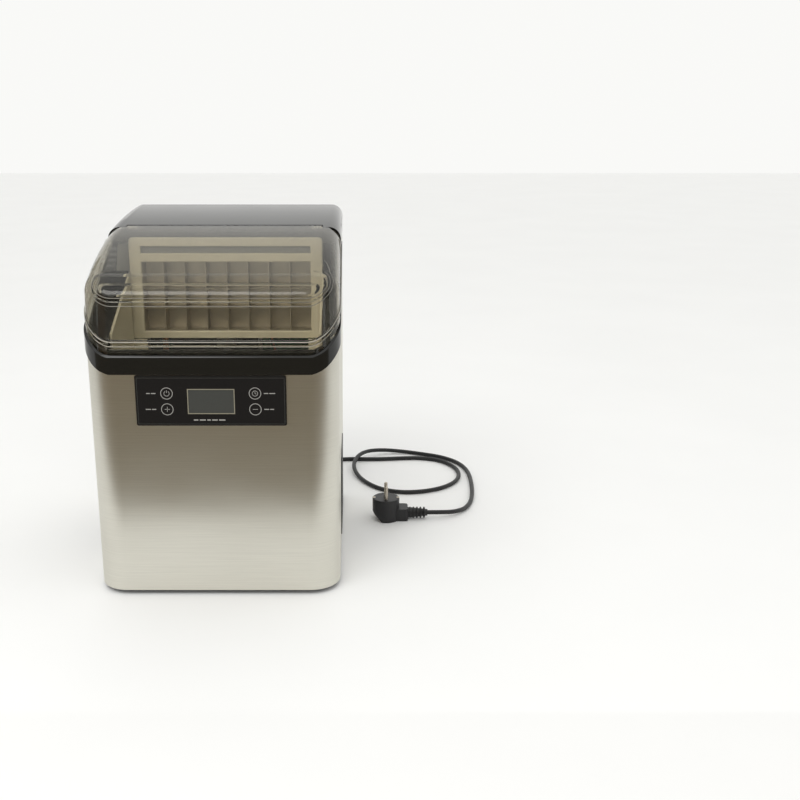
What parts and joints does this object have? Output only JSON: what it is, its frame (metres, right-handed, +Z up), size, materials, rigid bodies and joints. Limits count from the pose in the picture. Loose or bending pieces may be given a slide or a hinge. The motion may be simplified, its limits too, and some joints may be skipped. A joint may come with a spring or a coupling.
{
  "type": "ice maker",
  "caption": "Countertop clear-ice maker with a steel casing, smoked hinged lid, lift-out ice basket and scoop, working fan, pump and float, and a mains cord with plug.",
  "frame": {"origin": "centre of the machine's footprint, on the surface its feet stand on", "axes": "+Z up, the front with the control panel faces -Y, +X is the machine's right seen from the front"},
  "size_m": [0.4947, 0.5258, 0.4337],
  "materials": {
    "brushed_steel": "fine horizontal brushing",
    "black_gloss": "gloss",
    "panel_gloss": "gloss",
    "black_satin": "satin",
    "smoked_clear": "clear, smoked brown",
    "lcd_frame": "satin",
    "lcd_grey": "gloss",
    "key_print": "printed",
    "circuit_board": "solder mask",
    "cream_plastic": "satin",
    "white_plastic": "satin",
    "grey_plastic": "satin",
    "basket_white": "semi gloss, slightly translucent",
    "nickel_plate": "plated",
    "copper": "drawn tube",
    "brass": "turned",
    "condenser_alloy": "fins",
    "compressor_black": "satin paint",
    "rubber_black": "matt",
    "clear_hose": "translucent",
    "cord_black": "matt",
    "pin_steel": "plated"
  },
  "bodies": {
    "housing": {"base_pan": "black_satin", "board_bracket": "white_plastic", "capillary_pipe": "copper", "chamber_liner": "cream_plastic", "compressor": "compressor_black", "compressor_grommets": "rubber_black", "condenser": "condenser_alloy", "control_board": "circuit_board", "control_panel": "panel_gloss", "cord_gland": "cord_black", "discharge_pipe": "copper", "drain_hose": "clear_hose", "drain_spout": "black_satin", "evaporator_coil": "copper", "evaporator_frame": "cream_plastic", "evaporator_grid": "nickel_plate", "fan_frame": "black_satin", "fan_motor": "pin_steel", "filter_drier": "copper", "float_stem": "white_plastic", "foot_front_left": "rubber_black", "foot_front_right": "rubber_black", "foot_rear_left": "rubber_black", "foot_rear_right": "rubber_black", "grille_left": "black_satin", "grille_right": "black_satin", "hinge_pin_left": "pin_steel", "hinge_pin_right": "pin_steel", "hot_gas_valve": "brass", "inlet_hose": "clear_hose", "inlet_valve": "white_plastic", "key_rings": "key_print", "lcd_bezel": "lcd_frame", "lcd_window": "lcd_grey", "liquid_pipe": "copper", "plug_body": "cord_black", "plug_pins": "nickel_plate", "power_board": "circuit_board", "power_cord": "cord_black", "pump_body": "black_satin", "pump_hose": "clear_hose", "rear_cover": "black_gloss", "rear_panel": "black_satin", "rear_screws": "pin_steel", "steel_wrap": "brushed_steel", "suction_pipe": "copper", "top_rim": "black_gloss", "water_distributor": "grey_plastic", "water_tank": "white_plastic"},
    "lid": {"lid": "smoked_clear"},
    "ice_basket": {"ice_basket": "basket_white"},
    "ice_scoop": {"ice_scoop": "basket_white"},
    "fan_rotor": {"fan_blades": "black_satin"},
    "pump_rotor": {"pump_impeller": "white_plastic"},
    "float": {"float_ring": "basket_white"},
    "drain_plug": {"drain_plug": "rubber_black"}
  },
  "joints": [
    {"name": "lid_hinge", "type": "hinge", "parent": "housing", "child": "lid", "pos_m": [0, -0.0018, 0.4156], "axis": [-1, 0, 0], "range_deg": [0, 78]},
    {"name": "basket_lift", "type": "slide", "parent": "housing", "child": "ice_basket", "axis": [0, 0, 1], "range_m": [0, 0.085]},
    {"name": "scoop_lift", "type": "slide", "parent": "ice_basket", "child": "ice_scoop", "axis": [0, 0, 1], "range_m": [0, 0.06]},
    {"name": "fan_spin", "type": "hinge", "parent": "housing", "child": "fan_rotor", "pos_m": [0.127, 0.005, 0.062], "axis": [1, 0, 0], "continuous": true},
    {"name": "pump_spin", "type": "hinge", "parent": "housing", "child": "pump_rotor", "pos_m": [-0.1, -0.025, 0.03], "axis": [0, 0, 1], "continuous": true},
    {"name": "float_slide", "type": "slide", "parent": "housing", "child": "float", "axis": [0, 0, 1], "range_m": [0, 0.05]},
    {"name": "drain_plug_pull", "type": "slide", "parent": "housing", "child": "drain_plug", "axis": [0, 1, 0], "range_m": [0, 0.02]}
  ]
}
